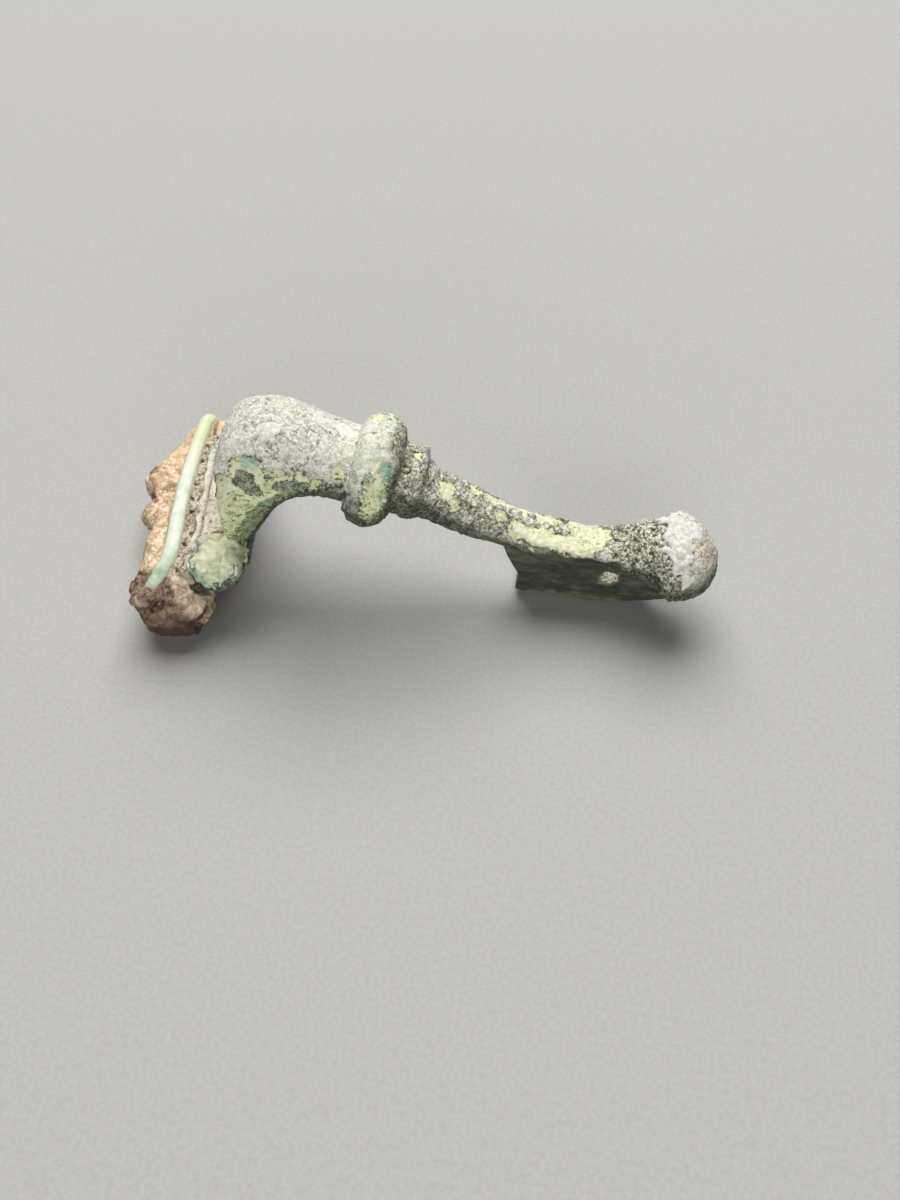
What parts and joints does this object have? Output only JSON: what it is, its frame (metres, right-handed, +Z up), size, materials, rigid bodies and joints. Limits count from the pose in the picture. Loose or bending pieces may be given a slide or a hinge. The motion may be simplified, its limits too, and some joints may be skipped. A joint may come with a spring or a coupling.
{
  "type": "roman fibula brooch",
  "caption": "Roman bow brooch of corroded bronze: trumpet head on a crossbar, round collar, slim foot with catchplate and end knob, spring seized in rust, pin lost.",
  "frame": {"origin": "on the flat spot under the catchplate, near its front corner, on which the brooch stands", "axes": "+X along the brooch from its head and spring to the knob of its foot, +Y across it towards the side onto which the catchplate's edge is folded, +Z up from the surface it stands on"},
  "size_m": [0.0555, 0.0245, 0.0207],
  "materials": {
    "corroded_bronze": "rough grey and green corrosion crust over cast bronze",
    "pale_green_bronze": "smooth pale green patina on bronze wire",
    "iron_rust": "lumpy orange and brown rust"
  },
  "bodies": {
    "root": {"bow_with_catchplate": "corroded_bronze", "spring_chord": "pale_green_bronze", "rusted_spring": "iron_rust"}
  },
  "joints": []
}
